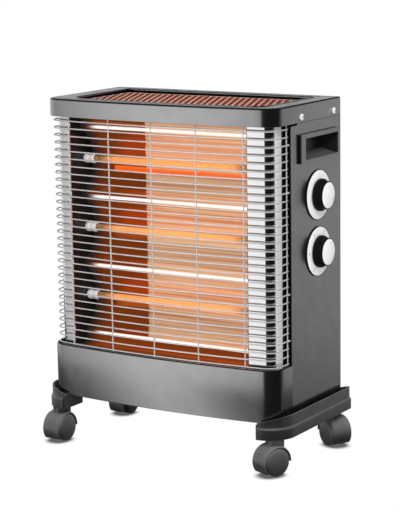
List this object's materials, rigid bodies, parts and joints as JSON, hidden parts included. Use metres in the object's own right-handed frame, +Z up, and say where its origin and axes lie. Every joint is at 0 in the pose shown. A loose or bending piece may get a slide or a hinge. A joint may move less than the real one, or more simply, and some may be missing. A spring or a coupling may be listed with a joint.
{
  "type": "halogen heater",
  "caption": "Low free-standing radiant heater with glowing quartz tubes behind a wire guard, a mesh-covered top outlet, side controls and swivel castors.",
  "frame": {"origin": "on the floor, under the middle of the overall box", "axes": "+Z up, the glowing front faces -Y, the controls are on the +X side"},
  "size_m": [0.4604, 0.251, 0.56],
  "materials": {
    "grey_paint": "satin grey lacquer",
    "copper_mesh": "satin red-copper lacquer",
    "reflector_metal": "polished, warm tinted",
    "chrome": "bright plated",
    "dark_steel": "dark satin",
    "zinc_steel": "zinc plated sheet",
    "stem_steel": "turned steel",
    "glowing_quartz": "clear, lit from inside",
    "resistance_wire": "glowing",
    "ceramic": "matt off-white",
    "black_plastic": "satin black",
    "knob_plastic": "black with a white face",
    "gloss_plastic": "gloss black",
    "silver_plate": "pale satin",
    "bright_screw": "bright plated",
    "pale_plastic": "matt"
  },
  "bodies": {
    "cabinet": {"top_cover": "grey_paint", "front_skirt": "grey_paint", "right_side_panel": "grey_paint", "left_side_panel": "grey_paint", "rear_cover": "grey_paint", "top_grille": "copper_mesh", "front_guard": "chrome", "right_column": "chrome", "left_column": "chrome", "base_pan": "zinc_steel", "reflector": "reflector_metal", "right_tube_bracket": "dark_steel", "left_tube_bracket": "dark_steel", "quartz_tube_1": "glowing_quartz", "heating_coil_1": "resistance_wire", "left_end_cap_1": "ceramic", "right_end_cap_1": "ceramic", "quartz_tube_2": "glowing_quartz", "heating_coil_2": "resistance_wire", "left_end_cap_2": "ceramic", "right_end_cap_2": "ceramic", "quartz_tube_3": "glowing_quartz", "heating_coil_3": "resistance_wire", "left_end_cap_3": "ceramic", "right_end_cap_3": "ceramic", "right_handle_cup": "black_plastic", "left_handle_cup": "black_plastic", "cord_gland": "black_plastic", "right_foot_rail": "black_plastic", "left_foot_rail": "black_plastic", "thermostat_dial_plate": "silver_plate", "selector_dial_plate": "silver_plate", "thermostat_switch": "pale_plastic", "selector_switch": "pale_plastic", "tip_over_switch": "pale_plastic", "terminal_block": "pale_plastic", "right_front_screw": "bright_screw", "right_rear_screw": "bright_screw", "left_front_screw": "bright_screw", "left_rear_screw": "bright_screw"},
    "thermostat_knob": {"thermostat_knob": "knob_plastic"},
    "selector_knob": {"selector_knob": "knob_plastic"},
    "right_front_castor": {"right_front_castor_hood": "gloss_plastic", "right_front_castor_stem": "stem_steel"},
    "right_front_wheel_a": {"right_front_castor_wheel_a": "gloss_plastic"},
    "right_front_wheel_b": {"right_front_castor_wheel_b": "gloss_plastic"},
    "left_front_castor": {"left_front_castor_hood": "gloss_plastic", "left_front_castor_stem": "stem_steel"},
    "left_front_wheel_a": {"left_front_castor_wheel_a": "gloss_plastic"},
    "left_front_wheel_b": {"left_front_castor_wheel_b": "gloss_plastic"},
    "right_rear_castor": {"right_rear_castor_hood": "gloss_plastic", "right_rear_castor_stem": "stem_steel"},
    "right_rear_wheel_a": {"right_rear_castor_wheel_a": "gloss_plastic"},
    "right_rear_wheel_b": {"right_rear_castor_wheel_b": "gloss_plastic"},
    "left_rear_castor": {"left_rear_castor_hood": "gloss_plastic", "left_rear_castor_stem": "stem_steel"},
    "left_rear_wheel_a": {"left_rear_castor_wheel_a": "gloss_plastic"},
    "left_rear_wheel_b": {"left_rear_castor_wheel_b": "gloss_plastic"}
  },
  "joints": [
    {"name": "thermostat_turn", "type": "hinge", "parent": "cabinet", "child": "thermostat_knob", "pos_m": [0.20377, 0.03405, 0.4153], "axis": [-1, 0, 0], "range_deg": [-270, 30]},
    {"name": "selector_turn", "type": "hinge", "parent": "cabinet", "child": "selector_knob", "pos_m": [0.20377, 0.03405, 0.3268], "axis": [-1, 0, 0], "continuous": true},
    {"name": "right_front_swivel", "type": "hinge", "parent": "cabinet", "child": "right_front_castor", "pos_m": [0.19427, -0.08955, 0.04], "axis": [0, 0, 1], "continuous": true},
    {"name": "left_front_swivel", "type": "hinge", "parent": "cabinet", "child": "left_front_castor", "pos_m": [-0.20573, -0.08955, 0.04], "axis": [0, 0, 1], "continuous": true},
    {"name": "right_rear_swivel", "type": "hinge", "parent": "cabinet", "child": "right_rear_castor", "pos_m": [0.19427, 0.09845, 0.04], "axis": [0, 0, 1], "continuous": true},
    {"name": "left_rear_swivel", "type": "hinge", "parent": "cabinet", "child": "left_rear_castor", "pos_m": [-0.20573, 0.09845, 0.04], "axis": [0, 0, 1], "continuous": true},
    {"name": "right_front_wheel_a_spin", "type": "hinge", "parent": "right_front_castor", "child": "right_front_wheel_a", "pos_m": [0.19193, -0.09507, 0.022], "axis": [-0.9205, 0.3907, 0], "continuous": true},
    {"name": "right_front_wheel_b_spin", "type": "hinge", "parent": "right_front_castor", "child": "right_front_wheel_b", "pos_m": [0.19193, -0.09507, 0.022], "axis": [-0.9205, 0.3907, 0], "continuous": true},
    {"name": "left_front_wheel_a_spin", "type": "hinge", "parent": "left_front_castor", "child": "left_front_wheel_a", "pos_m": [-0.20573, -0.09555, 0.022], "axis": [-1, 0, 0], "continuous": true},
    {"name": "left_front_wheel_b_spin", "type": "hinge", "parent": "left_front_castor", "child": "left_front_wheel_b", "pos_m": [-0.20573, -0.09555, 0.022], "axis": [-1, 0, 0], "continuous": true},
    {"name": "right_rear_wheel_a_spin", "type": "hinge", "parent": "right_rear_castor", "child": "right_rear_wheel_a", "pos_m": [0.19947, 0.09545, 0.022], "axis": [-0.5, -0.866, 0], "continuous": true},
    {"name": "right_rear_wheel_b_spin", "type": "hinge", "parent": "right_rear_castor", "child": "right_rear_wheel_b", "pos_m": [0.19947, 0.09545, 0.022], "axis": [-0.5, -0.866, 0], "continuous": true},
    {"name": "left_rear_wheel_a_spin", "type": "hinge", "parent": "left_rear_castor", "child": "left_rear_wheel_a", "pos_m": [-0.20573, 0.09245, 0.022], "axis": [-1, 0, 0], "continuous": true},
    {"name": "left_rear_wheel_b_spin", "type": "hinge", "parent": "left_rear_castor", "child": "left_rear_wheel_b", "pos_m": [-0.20573, 0.09245, 0.022], "axis": [-1, 0, 0], "continuous": true}
  ]
}
